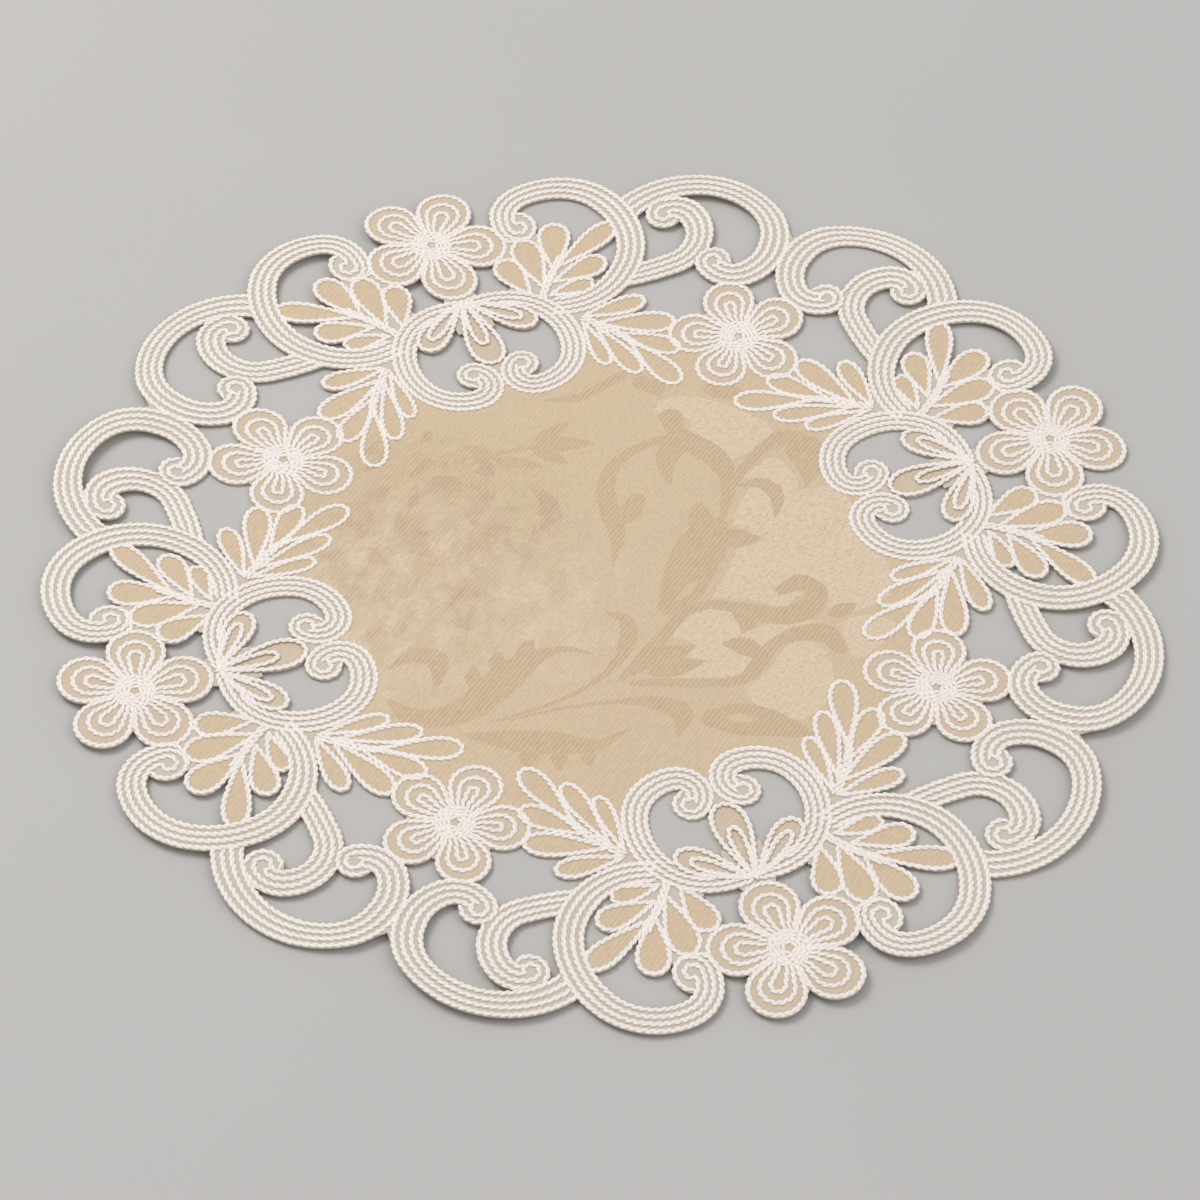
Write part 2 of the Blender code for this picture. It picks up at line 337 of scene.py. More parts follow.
FIGURE_LEAVES = (
    Leaf((-47.5, -27), (-44.5, -19.5), 4.4), Leaf((-40.5, -23.5), (-36, -17.5), 4.2),
    Leaf((-33.5, -21.5), (-26, -16.8), 4.0), Leaf((-40, -50), (-43.5, -57), 5.2),
    Leaf((-33, -53), (-35.5, -60.5), 4.6), Leaf((-26, -55), (-27.5, -62), 4.2),
    Leaf((-4, -35), (13.5, -32.8), 6.4), Leaf((-2, -38), (14, -38.6), 5.6),
    Leaf((50, -34.5), (59, -34), 4.6), Leaf((29, 0), (32.8, 13.8), 7.0),
    Leaf((32, 0), (44, -4.5), 6.6), Leaf((-2, 50), (5.5, 40.5), 4.6),
    Leaf((0, 51), (14.5, 44.5), 5.6), Leaf((-1, 51.5), (12, 55.5), 4.0),
    Leaf((-12, 50), (-20, 57), 3.8), Leaf((-14, 49.5), (-1, 41.5), 4.2),
    Leaf((50, 52.5), (60.5, 46.5), 7.0),
)

# Slits of lighter ground in the figures
FIGURE_EYES = (
    Leaf((11.5, -58.2), (20, -61.5), 3.0),
    Leaf((14, -16.5), (22, -12), 2.4),
    Leaf((-62, -27.5), (-50, -28.5), 1.8),
)

# The soft bloom on the left, whose fronds fade into the ground
BLOOM = (
    ((-54, 20, 2), (-58, 30, 9), (-54, 41, 12), (-45, 48, 3)),
    ((-36, 50, 2), (-28, 53, 6), (-19, 49, 7), (-13, 41, 2)),
    ((-7, 36, 2), (-5, 28, 5), (-9, 19, 7), (-16, 14, 2)),
    ((-50, 13, 3), (-45, 6, 9), (-36, 1, 7), (-29, 2, 2)),
    ((-22, 9, 3), (-17, 14, 6), (-18, 19, 7), (-24, 22, 6), (-31, 24, 2)),
    ((-41, 38, 2), (-36, 43, 6), (-29, 44, 7), (-22, 40, 3)),
    ((-31, 29, 2), (-25, 30, 6), (-21, 35, 7), (-22, 40, 3)),
    ((-45, 35, 3), (-43, 26, 9), (-37, 20, 3)),
    ((-47, 4, 2), (-42, -3, 7), (-39, -11, 1)),
    ((-60, 10, 2), (-65, 17, 9), (-69, 25, 1)),
    ((-62, 26, 2), (-69, 33, 6), (-72, 40, 1)),
    ((-34, 60, 1), (-26, 62, 6), (-18, 59, 1)),
    ((-56, 2, 1), (-62, -2, 6), (-70, -1, 1)),
    ((-14, 30, 1), (-20, 27, 5), (-27, 14, 1)),
    ((-50, 56, 1), (-44, 60, 7), (-36, 68, 1)),
)

# The lighter ground, woven as satin, round the figures of the right side
SATIN = (
    ((23.5, -18.5), (33, -9.5), (38, -5), (45, -5), (39, 3), (46, 12), (52, 15), (56, 9), (61, 8),
     (66, 8), (72, 2), (72, -30), (60, -36), (52, -33), (48.5, -25.5), (43, -27), (40, -28),
     (33, -23)),
    ((48, 18), (57, 22), (61, 18), (61, 9.5), (56, 9), (53.5, 15)),
    ((44, 25), (52, 25.5), (60, 29), (62, 34), (55, 43), (46, 50.5), (38, 52), (34, 48),
     (41.5, 44), (41, 37)),
    ((8.5, -28), (14, -23.5), (22, -22), (27, -26), (27, -32), (33, -32), (44, -33.5), (45, -36),
     (34, -37), (24, -44), (18, -45.5), (9, -43), (2, -41), (13, -38.5), (9, -36), (13, -32.5)),
    ((20, -51), (28, -47), (36, -40.5), (43, -42), (44.5, -49), (42, -58), (33, -65), (27, -64),
     (21, -57)),
    ((52, -38), (60, -38), (66, -44), (56, -50), (51, -50), (51, -44)),
)


def frond_outline(frond):
    """The outline of a smooth frond: one side out and the other side back."""
    line = smooth_line(frond)
    middle = line[:, :2]
    across = left_of(middle) * line[:, 2:] / 2
    ends = []
    for i in (0, -1):
        begin = np.arctan2(across[i, 1], across[i, 0]) + (pi if i == 0 else 0)
        ends.append(arc(middle[i], line[i, 2] / 2, begin, -pi)[1:-1])
    return np.concatenate((ends[0], middle + across, ends[1], (middle - across)[::-1]))


# ---- how the cloth lies

# How far the cloth is drawn out of its even plan, toward +X and +Y, at every 45 degrees from +X:
# on the circle where the border begins, and on one near the edge
PULLS = (
    ((-0.5, 1.5), (2.0, 4.0)),
    ((-0.5, 2.0), (2.0, 7.5)),
    ((-2.5, -3.0), (-4.0, 0.5)),
    ((-2.0, -0.5), (-4.0, 3.5)),
    ((1.0, 0.5), (0.5, 0.0)),
    ((0.5, -1.5), (0.0, -2.5)),
    ((0.5, -0.5), (-1.0, -3.5)),
    ((1.0, -1.5), (2.5, -1.5)),
)
PULL_RADII = (90.0, 140.0)  # of the two circles
BOX_SHIFT = (-1.2, 1.4)  # moves the pulled doily's box over the origin

# Soft waves across the cloth: wavelength, direction in degrees, phase in degrees, height
MIDDLE_WAVES = ((170, 20, 40, 0.25), (115, 75, 200, 0.20), (83, 140, 90, 0.16))
EDGE_WAVES = ((96, 10, 120, 0.7), (71, 62, 300, 0.6), (58, 118, 20, 0.5), (88, 165, 250, 0.5))
PLAN_WAVES = ((150, 35, 10, 0.35), (105, 120, 150, 0.3))
FLAT_RADIUS, EDGE_RADIUS = 88.0, 150.0  # where the edge waves begin, and where they are whole
EDGE_WAVES_RISE = 1.5  # the power of the way between them
LOWEST = 0.05  # of the cloth over the floor
PLAN_SHIFT = 0.3  # takes out most of the plan waves' shift


def wave_sum(xy, waves):
    """Waves of the tables above added up, each from 0 to its height."""
    total = np.zeros(len(xy))
    for wavelength, direction, phase, height in waves:
        runs = xy @ unit(np.array(radians(direction))) * tau / wavelength + radians(phase)
        total += height * (0.5 + 0.5 * np.sin(runs))
    return total


def drawn(xy):
    """Points of the plan, moved by the pulls: smoothly round it, and evenly between circles."""
    steps = np.arctan2(xy[:, 1], xy[:, 0]) / tau * len(PULLS)
    before = np.floor(steps).astype(int)
    share = ((1 - np.cos(pi * (steps - before))) / 2)[:, None]
    rings = np.array(PULLS)
    here, there = rings[before % len(PULLS)], rings[(before + 1) % len(PULLS)]
    radius = np.hypot(*xy.T)[:, None]
    inner, outer = ((1 - share) * here[:, i] + share * there[:, i] for i in (0, 1))
    out = np.clip((radius - PULL_RADII[0]) / (PULL_RADII[1] - PULL_RADII[0]), 0, 1)
    return xy + np.clip(radius / PULL_RADII[0], 0, 1) * inner * (1 - out) + outer * out + BOX_SHIFT


def laid(xy):
    """Where the underside of the cloth lies, for points of the plan, in millimetres."""
    xy = drawn(xy)
    out = np.clip((np.hypot(*xy.T) - FLAT_RADIUS) / (EDGE_RADIUS - FLAT_RADIUS), 0, 1)
    height = LOWEST + wave_sum(xy, MIDDLE_WAVES) + out**EDGE_WAVES_RISE * wave_sum(xy, EDGE_WAVES)
    drift = [wave_sum(axes, PLAN_WAVES) - PLAN_SHIFT for axes in (xy, xy[:, ::-1])]
    return np.column_stack((xy + np.column_stack(drift), height))


# ---- settings


def colour_property(name, description, default):
    return FloatVectorProperty(
        name=name, description=description, default=default, size=3, min=0, max=1, subtype="COLOR"
    )


def number_property(name, description, default, **kind):
    return FloatProperty(name=name, description=description, default=default, **kind)


def length_property(name, description, default):
    return number_property(name, description, default, min=0, unit="LENGTH")


class DoilyClothSettings(bpy.types.PropertyGroup):
    thickness: length_property("Thickness", "Thickness of the damask", 0.0005)
    mesh_spacing: length_property("Mesh Spacing", "Distance between points of the cloth", 0.0022)
    twill_spacing: length_property("Twill Spacing", "Distance between twill lines", 0.00115)
    ground_colour: colour_property("Ground", "Colour of the damask's ground", (0.630, 0.487, 0.330))
    figure_colour: colour_property("Figure", "Colour of the damask's figure", (0.578, 0.430, 0.283))
    satin_colour: colour_property("Satin", "Colour of the lighter ground", (0.690, 0.552, 0.394))
    # The cloth between the rows of stitching: the pale fuzz of their fibres, and painted shade
    # between the rows
    band_fuzz_and_shade_colour: colour_property("Bands", "Colour of the cloth between rows", (0.58, 0.522, 0.443))
    edge_colour: colour_property("Cut Edge", "Colour of the heat-cut edge", (0.70, 0.57, 0.42))


class DoilyStitchSettings(bpy.types.PropertyGroup):
    spacing: length_property("Spacing", "Distance from one stitch to the next", 0.00205)
    length: length_property("Length", "Length of a stitch, which overlaps the next", 0.0033)
    width: length_property("Width", "Thickness of the cord seen from above", 0.00130)
    height: length_property("Height", "Height of the cord over the cloth", 0.00062)
    slant: length_property("Slant", "How far a stitch leans out to each side", 0.00040)
    seed: IntProperty(name="Seed", description="Start of the stitches' unevenness", default=7)
    colour: colour_property("Thread", "Colour of the stitching cord", (0.912, 0.843, 0.768))


class DoilyStageSettings(bpy.types.PropertyGroup):
    floor_colour: colour_property("Floor", "Colour of the pale floor", (0.52, 0.50, 0.475))
    key_power: number_property("Key", "Power of the large soft light", 11.5, unit="POWER")
    fill_power: number_property("Fill", "Power of the fill light", 5.0, unit="POWER")
    sky: number_property("Sky", "Strength of the even light from all round", 0.62)
    azimuth: number_property("Azimuth", "Camera's turn", radians(-21.64), subtype="ANGLE")
    elevation: number_property("Elevation", "Angle over the floor", radians(49.08), subtype="ANGLE")
    roll: number_property("Roll", "Camera's lean", radians(1.63), subtype="ANGLE")
    distance: length_property("Distance", "From the camera to what it looks at", 1.18)
    lens: number_property("Lens", "Focal length", 132.1, unit="CAMERA")
    target: FloatVectorProperty(
        name="Target", description="What the camera looks at", size=3,
        default=(-0.0057, -0.0078, 0.0), unit="LENGTH",
    )


# ---- materials

TWILL_ANGLE = 38  # of the twill's lines, in degrees from +X
GROUND_DEPTH, FIGURE_DEPTH = 0.035, 0.08  # how much painted shade darkens the twill's grooves and painted light lightens its ridges
BLOOM_SHADE = 0.955  # of the bloom, against that of the other figures

# Soft spots on the plan, in metres: the centre, and the distances from it where the spot begins
# to fade and where it ends
DARK_SPOT = ((-0.045, 0.028), 0.020, 0.050)
GLEAMS = (((-0.022, -0.008), 0.012, 0.036), ((-0.055, 0.010), 0.020, 0.045))


def new_material(name, roughness, sheen):
    """A material with its node tree, and its Principled shader."""
    material = bpy.data.materials.new(name)
    material.use_nodes = True
    shader = material.node_tree.nodes["Principled BSDF"]
    for name, value in (
        ("Roughness", roughness), ("Sheen Weight", sheen),
        ("Sheen Roughness", 0.5), ("Specular IOR Level", 0.3),
    ):
        shader.inputs[name].default_value = value
    return material, material.node_tree, shader


def feed(tree, socket, value):
    """Gives an input its value, or links it to the output that is its value."""
    if isinstance(value, bpy.types.NodeSocket):
        tree.links.new(value, socket)
    else:
        socket.default_value = value


def add_node(tree, kind, **values):
    """A node with its properties and inputs set by name, spaces written as underscores."""
    node = tree.nodes.new(kind)
    for name, value in values.items():
        socket = node.inputs.get(name.replace("_", " "))
        if socket is None:
            setattr(node, name, value)
        else:
            feed(tree, socket, value)
    return node


def rgba(colour, shade=1.0):
    """A colour as a socket takes it, made darker or lighter by a factor."""
    return (*(min(1.0, channel * shade) for channel in colour), 1.0)


def object_coordinates(tree):
    return add_node(tree, "ShaderNodeTexCoord").outputs["Object"]


def mapped(tree, vector, **change):
    return add_node(tree, "ShaderNodeMapping", Vector=vector, **change).outputs["Vector"]


def turned_coordinates(tree, angle, stretch=(1, 1, 1)):
    """Object coordinates turned about Z by an angle in degrees, then stretched."""
    turned = mapped(tree, object_coordinates(tree), Rotation=(0, 0, radians(-angle)))
    return mapped(tree, turned, Scale=stretch)


def twill_lines(tree, spacing):
    """The twill's lines at a spacing in metres, from 0 to 1."""
    lines = add_node(
        tree, "ShaderNodeTexWave", Vector=turned_coordinates(tree, TWILL_ANGLE),
        bands_direction="Y", Scale=pi / 10 / spacing, Distortion=1.3, Detail=2.0, Detail_Scale=2.0,
    )
    return lines.outputs["Fac"]


def mixed(tree, factor, first, second, blend="MIX"):
    """A Mix node's colour output; a factor or a colour is a value or an output."""
    mix = add_node(tree, "ShaderNodeMix", data_type="RGBA", blend_type=blend)
    for number, value in ((0, factor), (6, first), (7, second)):
        feed(tree, mix.inputs[number], value)
    return mix.outputs[2]


def calculated(tree, operation, first, second):
    """A Math node's output; each number is a value or an output."""
    node = add_node(tree, "ShaderNodeMath", operation=operation)
    for socket, value in zip(node.inputs, (first, second)):
        feed(tree, socket, value)
    return node.outputs[0]


def remapped(tree, value, low, high, to_low=0.0, to_high=1.0):
    """A value from low to high, stretched to a new range and held inside it."""
    ramp = add_node(
        tree, "ShaderNodeMapRange", Value=value,
        From_Min=low, From_Max=high, To_Min=to_low, To_Max=to_high,
    )
    return ramp.outputs["Result"]


def noise(tree, angle, stretch, detail=2.0):
    """Noise whose features are 1 / stretch metres long along each axis of a turned plan."""
    place = turned_coordinates(tree, angle, stretch)
    texture = add_node(tree, "ShaderNodeTexNoise", Vector=place, Scale=1.0, Detail=detail)
    return texture.outputs["Fac"]


def soft_spot(tree, centre, inner, outer):
    """1 near a place on the plan, falling to 0 between two distances from it."""
    distance = add_node(tree, "ShaderNodeVectorMath", operation="DISTANCE")
    feed(tree, distance.inputs[0], object_coordinates(tree))
    feed(tree, distance.inputs[1], (*centre, 0))
    return remapped(tree, distance.outputs["Value"], inner, outer, 1.0, 0.0)


def attribute(tree, name):
    return add_node(tree, "ShaderNodeAttribute", attribute_name=name).outputs["Fac"]


def add_bump(tree, shader, height, distance, strength):
    bump = add_node(tree, "ShaderNodeBump", Height=height, Distance=distance, Strength=strength)
    feed(tree, shader.inputs["Normal"], bump.outputs["Normal"])


# A colour darker in the twill's grooves and lighter on its ridges, as the bump raises them: painted
# shade and painted light
def twill_with_painted_shade(tree, lines, colour, depth, shade=1.0):
    return mixed(tree, lines, rgba(colour, shade - depth), rgba(colour, shade + depth))


def damask_ground(tree, settings, lines, figure, satin):
    """The ground between the figures. It is darker round the bloom, which fades in and out of
    it, and has a patchy gleam beside the bloom."""
    clouds = remapped(tree, noise(tree, 20, (50, 80, 50), 3.0), 0.36, 0.62, 0.25, 0.95)
    fading = remapped(tree, noise(tree, -30, (210, 150, 210), 3.0), 0.42, 0.56)
    patches = remapped(tree, noise(tree, 50, (90, 150, 90), 3.0), 0.42, 0.64, 0.0, 0.9)
    bloom = twill_with_painted_shade(tree, lines, settings.figure_colour, FIGURE_DEPTH, BLOOM_SHADE)
    gleam = calculated(tree, "MAXIMUM", *(soft_spot(tree, *spot) for spot in GLEAMS))
    ground = twill_with_painted_shade(tree, lines, settings.ground_colour, GROUND_DEPTH)
    for where, uneven, cloth in (
        (soft_spot(tree, *DARK_SPOT), clouds, figure),
        (attribute(tree, "bloom"), fading, bloom),
        (gleam, patches, satin),
    ):
        ground = mixed(tree, calculated(tree, "MULTIPLY", where, uneven), ground, cloth)
    return ground


def damask_material(settings):
    """Beige damask: fine twill, darker figures in bolder twill, and lighter flecked satin. Along
    the twill's lines, painted shade darkens the grooves and painted light lightens the ridges that
    the bump raises.
    """
    material, tree, shader = new_material("beige_damask", roughness=0.72, sheen=0.12)
    lines = twill_lines(tree, settings.twill_spacing)
    figure = twill_with_painted_shade(tree, lines, settings.figure_colour, FIGURE_DEPTH)
    flecks = remapped(tree, noise(tree, -4, (800, 2000, 900), 1.0), 0.52, 0.66)
    satin = mixed(tree, flecks, *(rgba(settings.satin_colour, shade) for shade in (1.01, 0.86)))
    ground = damask_ground(tree, settings, lines, figure, satin)
    colour = mixed(tree, attribute(tree, "satin"), ground, satin)
    colour = mixed(tree, attribute(tree, "figure"), colour, figure)
    grain = noise(tree, TWILL_ANGLE, (500, 1500, 900), 1.0)
    colour = mixed(tree, 1.0, colour, remapped(tree, grain, 0.3, 0.7, 0.935, 1.05), "MULTIPLY")
    # Painted shade between the rows of stitching, with the pale fuzz of their fibres, from the
    # layer named pale
    colour = mixed(tree, attribute(tree, "pale"), colour, rgba(settings.band_fuzz_and_shade_colour))
    rim = calculated(tree, "POWER", attribute(tree, "rim"), 2.5)
    colour = mixed(tree, rim, colour, rgba(settings.edge_colour))
    feed(tree, shader.inputs["Base Color"], colour)
    add_bump(tree, shader, lines, distance=0.00006, strength=0.6)
    return material


def thread_material(settings):
    """Off-white cord of several plies, with painted shade in the grooves between them and a soft
    sheen.
    """
    material, tree, shader = new_material("off_white_cord", roughness=0.55, sheen=0.35)
    uv = add_node(tree, "ShaderNodeUVMap", uv_map="cord").outputs["UV"]
    plies = add_node(
        tree, "ShaderNodeTexWave", Vector=mapped(tree, uv, Rotation=(0, 0, radians(32))),
        bands_direction="X", Scale=1.1, Distortion=0.8, Detail=2.0,
    ).outputs["Fac"]
    # A darker copy of the thread colour: painted shade in the grooves between the plies, and the
    # darker tone of random blotches
    shade = rgba(settings.colour, 0.86)
    blotches = remapped(tree, noise(tree, 0, (90, 90, 90)), 0.35, 0.75, 0.0, 0.25)
    # Painted shade: darker where the plies' bump is low, in the grooves between them
    colour = mixed(tree, remapped(tree, plies, 0, 0.6), shade, rgba(settings.colour))
    colour = mixed(tree, blotches, colour, shade)
    feed(tree, shader.inputs["Base Color"], colour)
    add_bump(tree, shader, plies, distance=0.00008, strength=0.5)
    return material


def floor_material(settings):
    material, tree, shader = new_material("pale_floor", roughness=0.6, sheen=0.0)
    shades = (rgba(settings.floor_colour), rgba(settings.floor_colour, 0.94))
    colour = mixed(tree, noise(tree, 0, (6, 6, 6), 4.0), *shades)
    feed(tree, shader.inputs["Base Color"], colour)
    return material


# ---- the cloth

# How much each kind of cloth is mixed toward the band colour, which stands for the pale fuzz of the
# stitching's fibres and for painted shade between its rows; where they overlap, the first one
# counts
FUZZ_AND_SHADE_SHARES = {"scroll": 0.9, "leaf": 0.0, "petal": 0.3, "web": 0.8, "middle": 0.0}
CUT_EDGE_NORMAL = 0.5  # faces whose normals point up or down less than this are the cut edge
SHARP_ANGLE = 50  # in degrees, between faces that aren't shaded as one


def border_outlines():
    """Outlines of all the cloth of the doily, by the name of what they belong to."""
    leaves = [leaf_outline(leaf) for leaf in (*UPPER_SPRAY, *LOWER_SPRAY_AT_EDGE)]
    flowers = flower_outlines(AXIS_FLOWER) + flower_outlines(DIAGONAL_FLOWER)
    petals = repeated([leaf_outline(AXIS_PETAL), *flowers], QUARTERS)
    eighth = np.array(MIDDLE_EDGE, float)
    quarter = np.concatenate((eighth, [DIAGONAL_FLOWER.centre], eighth[:0:-1, ::-1]))
    return {
        "scroll": repeated(outlines_of(*SCROLLS), EIGHTHS),
        "leaf": repeated(leaves, EIGHTHS),
        "petal": petals + repeated([leaf_outline(SIDE_PETAL)], EIGHTHS),
        "web": repeated([np.array(web, float) for web in WEBS], EIGHTHS),
        "middle": [np.concatenate(repeated([quarter], QUARTERS[::-1]))],
    }


def woven_outlines():
    """The outlines of the woven parts of the damask, by the name of their layer."""
    return {
        "figure": [frond_outline(frond) for frond in FRONDS]
        + [leaf_outline(leaf, POINTED) for leaf in FIGURE_LEAVES],
        "eye": [leaf_outline(leaf, POINTED) for leaf in FIGURE_EYES],
        "satin": [smooth_line((*corners, corners[0]), steps=4)[:-1] for corners in SATIN],
        "bloom": [frond_outline(frond) for frond in BLOOM],
    }


def counter_clockwise(outline):
    """The outline, turned round if it runs clockwise."""
    x, y = outline.T
    twice_area = np.sum(x * np.roll(y, -1) - np.roll(x, -1) * y)
    return outline if twice_area > 0 else outline[::-1]


def even_points(radius, spacing):
    """Points of a triangular grid inside a circle."""
    rows = np.arange(-radius, radius, spacing * sqrt(0.75))
    columns = np.arange(-radius, radius, spacing)
    x, y = np.meshgrid(columns, rows)
    x[1::2] += spacing / 2
    grid = np.column_stack((x.ravel(), y.ravel()))
    return grid[np.hypot(*grid.T) < radius]


def cut_cloth(spacing):
    """The cut cloth as a flat bmesh facing up, in millimetres, with layers on its faces that say
    what is woven there and how much of the band colour it gets: the pale fuzz of the stitching and
    painted shade between its rows."""
    outlines, kinds = [], []
    for kind, shapes in (*border_outlines().items(), *woven_outlines().items()):
        outlines += shapes
        kinds += [kind] * len(shapes)
    points = [Vector(p) for p in even_points(EDGE_RADIUS, spacing)]
    loops = []
    for outline in outlines:
        loops.append(range(len(points), len(points) + len(outline)))
        points += [Vector(p) for p in counter_clockwise(outline)]
    verts, _, triangles, _, _, covering = delaunay_2d_cdt(points, [], loops, 1, SAME_POINT)
    bm = bmesh.new()
    names = ("pale", "figure", "satin", "bloom")
    layers = {name: bm.faces.layers.float.new(name) for name in names}
    corners = [bm.verts.new(v.to_3d()) for v in verts]
    for triangle, sources in zip(triangles, covering):
        here = {kinds[source] for source in sources}
        # The pale layer holds each face's share of the band colour: fibre fuzz and painted shade
        # between rows
        pale = [share for kind, share in FUZZ_AND_SHADE_SHARES.items() if kind in here]
        if pale:
            face = bm.faces.new([corners[i] for i in triangle])
            face[layers["pale"]] = pale[0]
            for name in here & set(layers):
                face[layers[name]] = 1.0
            if "eye" in here:
                face[layers["figure"]] = 0.0
    bmesh.ops.delete(bm, geom=[v for v in bm.verts if not v.link_faces], context="VERTS")
    return bm


def mesh_object(name, mesh, material):
    obj = bpy.data.objects.new(name, mesh)
    bpy.context.collection.objects.link(obj)
    mesh.materials.append(material)
    return obj


class DOILY_OT_cloth(bpy.types.Operator):
    """Make the damask cloth with its cut-out border"""

    bl_idname = "doily.cloth"
    bl_label = "Damask Cloth"

    def execute(self, context):
        settings = context.scene.doily_cloth
        bm = cut_cloth(settings.mesh_spacing / MM)
        flat = np.array([vert.co.xy for vert in bm.verts])
        for vert, place in zip(bm.verts, laid(flat) * MM):
            vert.co = place
        bmesh.ops.solidify(bm, geom=bm.faces[:], thickness=-settings.thickness)
        bmesh.ops.recalc_face_normals(bm, faces=bm.faces)
        rim = bm.verts.layers.float.new("rim")
        for face in bm.faces:
            if abs(face.normal.z) < CUT_EDGE_NORMAL:
                for vert in face.verts:
                    vert[rim] = 1.0
        mesh = bpy.data.meshes.new("damask_cloth")
        bm.to_mesh(mesh)
        bm.free()
        mesh.shade_smooth()
        mesh.set_sharp_from_angle(angle=radians(SHARP_ANGLE))
        cloth = mesh_object("damask_cloth", mesh, damask_material(settings))
        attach(cloth, "root")
        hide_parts("doily")
        return {"FINISHED"}


# ---- the stitching

# Lengths are in millimetres
ROW_MARGIN = 0.62  # from a cut edge to the middle of the row beside it
ROWS_IN_BAND = 4
SMALLEST_HOOK = 1.2  # radius of the tightest turn that a row makes
INNERMOST_HOOK = ((2.5, 90), (2.1, 90), (1.9, 90))  # its arcs, as (radius, turn in degrees)
OUTER_HOOK = ((5.0, 90),)
RING_TURN = 320  # how far the first row may go round the curl, in degrees
EYE_RADIUS = 2.1  # of the middle of the innermost hook, where the rows after it end
ROWS_MEET = 1.0  # how near the first row comes to the fourth at its end
PETAL_ROWS = ((0.65, 0.0), (3.4, 0.9), (6.0, 1.6))  # each row's inset, and how far it moves in
PETAL_ROWS_BEGIN = 5.6  # from the flower's centre
FLOWER_RINGS = (1.75, 2.85, 3.95, 5.05)
STEM_ROW_SHIFT = 0.55  # from a stem's middle line to each of its rows
HIDING_INSET = 1.3  # how far a leaf's row may reach in over the leaves before it
STEM_LAYER = 0.1  # how much higher a stem's rows lie than the rows round leaves
AXIS_PETAL_LAYER, SIDE_PETAL_LAYER = 0.3, 0.15  # the same for the petals under a flower
ROW_SAGITTA = 0.004
ROW_END = 3.0  # how far rows are led on straight, for the ends of their outer stitches
STITCH_ARCH = 0.10  # how far the middle of a stitch rises over its ends
STITCH_LIFT = 0.02  # of each stitch over the cloth
UNEVEN_PLACE = 0.12  # how far a stitch may slip along its row
UNEVEN_SIZE = (0.92, 1.08)  # the smallest and the largest stitch, against the usual one


def led_on(row, heading, side, arcs):
    """A row led on from its end along arcs (radius, turn in degrees), which bend to one side."""
    for radius, turn in arcs:
        centre = row[-1] + side * radius * unit(heading + pi / 2)
        begin = heading - side * pi / 2
        bend = arc(centre, radius, begin, side * radians(turn), ROW_SAGITTA)
        row = np.concatenate((row, bend[1:]))
        heading += side * radians(turn)
    return row


def up_to(row, reached):
    """A row up to the first of its points that has reached something, or all of it."""
    return row[: np.argmax(reached)] if reached.any() else row


def scroll_rows(scroll):
    """The four rows along a scroll. At its curl the first goes on round the edge until it meets
    the fourth, the next one or two hook round, and the others end at the innermost hook."""
    points, inwards, heading = outer_edge(scroll, ROW_SAGITTA)
    insets = np.linspace(ROW_MARGIN, band_widths(scroll, points) - ROW_MARGIN, ROWS_IN_BAND)
    rows = [points + inwards * inset[:, None] for inset in insets]
    hooked = [i for i in (1, 2) if scroll.curl - insets[i][-1] > SMALLEST_HOOK]
    innermost = hooked[-1]
    for i in hooked:
        arcs = INNERMOST_HOOK if i == innermost else OUTER_HOOK
        rows[i] = led_on(rows[i], heading, scroll.side, arcs)
    eye = rows[innermost][len(points):].mean(axis=0)
    for i in range(innermost + 1, ROWS_IN_BAND):
        rows[i] = up_to(rows[i], np.hypot(*(rows[i] - eye).T) < EYE_RADIUS)
    ring = led_on(rows[0][-1:], heading, scroll.side, ((scroll.curl - ROW_MARGIN, RING_TURN),))
    apart = np.hypot(*(ring[:, None] - rows[-1][None]).transpose(2, 0, 1)).min(axis=1)
    rows[0] = np.concatenate((rows[0], up_to(ring, apart < ROWS_MEET)))
    return rows


def leaf_rows(leaves):
    return [leaf_loop(leaf, ROW_MARGIN, step=0.4) for leaf in leaves]


def stem_rows(stem):
    """Two rows side by side along a stem."""
    line = smooth_line(stem)
    return [line + left_of(line) * shift for shift in (-STEM_ROW_SHIFT, STEM_ROW_SHIFT)]


def flower_rows(flower):
    rows = [
        petal_loop(flower, number, inset, moved_in, PETAL_ROWS_BEGIN)
        for number in range(PETALS)
        for inset, moved_in in PETAL_ROWS
    ]
    return rows + [arc(flower.centre, radius, 0, tau, ROW_SAGITTA) for radius in FLOWER_RINGS]


def covers(outline, points):
    """Which points lie inside an outline."""
    x, y = points.T[:, :, None]
    x1, y1 = outline.T
    x2, y2 = np.roll(outline, -1, axis=0).T
    with np.errstate(divide="ignore", invalid="ignore"):
        crossing = ((y1 > y) != (y2 > y)) & (x < (x2 - x1) * (y - y1) / (y2 - y1) + x1)
    return crossing.sum(axis=1) % 2 == 1


def stitch_shape(settings):
    """One slanted stitch in millimetres, with X along the row, Y across it and Z up: its
    vertices, its faces, and their UVs."""
    bm = bmesh.new()
    cord_uv = bm.loops.layers.uv.new("cord")
    bmesh.ops.create_uvsphere(bm, u_segments=6, v_segments=6, radius=1.0, calc_uvs=True)
    bmesh.ops.rotate(bm, verts=bm.verts, matrix=Matrix.Rotation(pi / 2, 3, "Y"))
    length, width, height, slant = (
        getattr(settings, name) / MM for name in ("length", "width", "height", "slant")
    )
    for vert in bm.verts:
        along = vert.co.x
        blunt = (1 + along**2) * sqrt(max(0.0, 1 - along**2))
        lean = slant * np.sin(along * pi / 2)
        rise = STITCH_ARCH * (1 - along**2) + STITCH_LIFT
        vert.co = (
            along * length / 2,
            vert.co.y * blunt * width / 2 + lean,
            vert.co.z * blunt * height / 2 + rise,
        )
    bm.verts.index_update()
    corners = np.array([vert.co for vert in bm.verts])
    faces = [[vert.index for vert in face.verts] for face in bm.faces]
    uvs = [np.array([loop[cord_uv].uv for loop in face.loops]) for face in bm.faces]
    bm.free()
    return corners, faces, uvs


